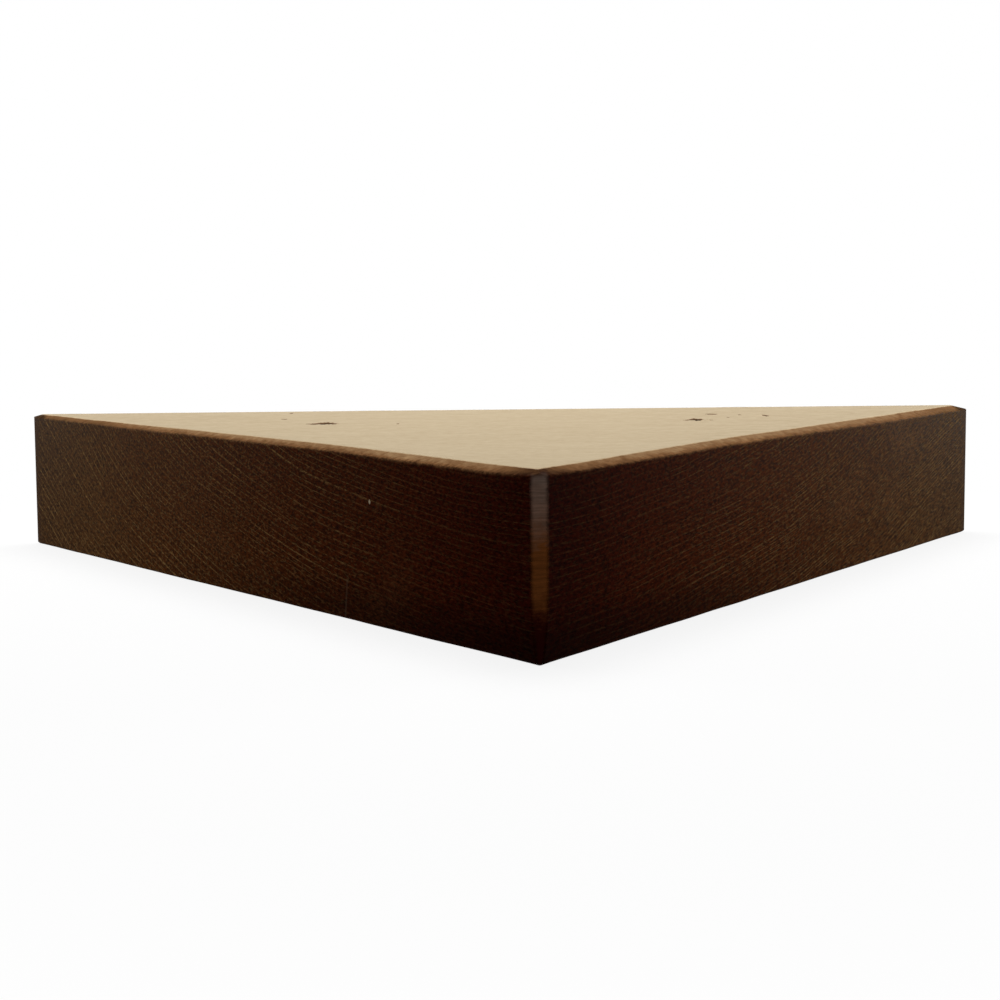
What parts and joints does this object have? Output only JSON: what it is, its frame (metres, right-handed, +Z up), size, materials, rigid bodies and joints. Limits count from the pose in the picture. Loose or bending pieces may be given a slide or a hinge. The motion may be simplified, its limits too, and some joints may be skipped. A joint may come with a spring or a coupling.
{
  "type": "corner furniture foot",
  "caption": "Low triangular corner foot of solid stained hardwood, with a raw chamfered mounting face and countersunk screw holes in a line along its long back.",
  "frame": {"origin": "middle of the underside, where the foot stands on the floor", "axes": "+X along the long back face, +Y towards the back face with the front corner at -Y, +Z up out of the mounting face"},
  "size_m": [0.2528, 0.1258, 0.035],
  "materials": {
    "stained_hardwood": "dark walnut stain, satin, thinner on the chamfers; the mounting face is raw pale wood"
  },
  "bodies": {
    "root": {"foot_block": "stained_hardwood"}
  },
  "joints": []
}
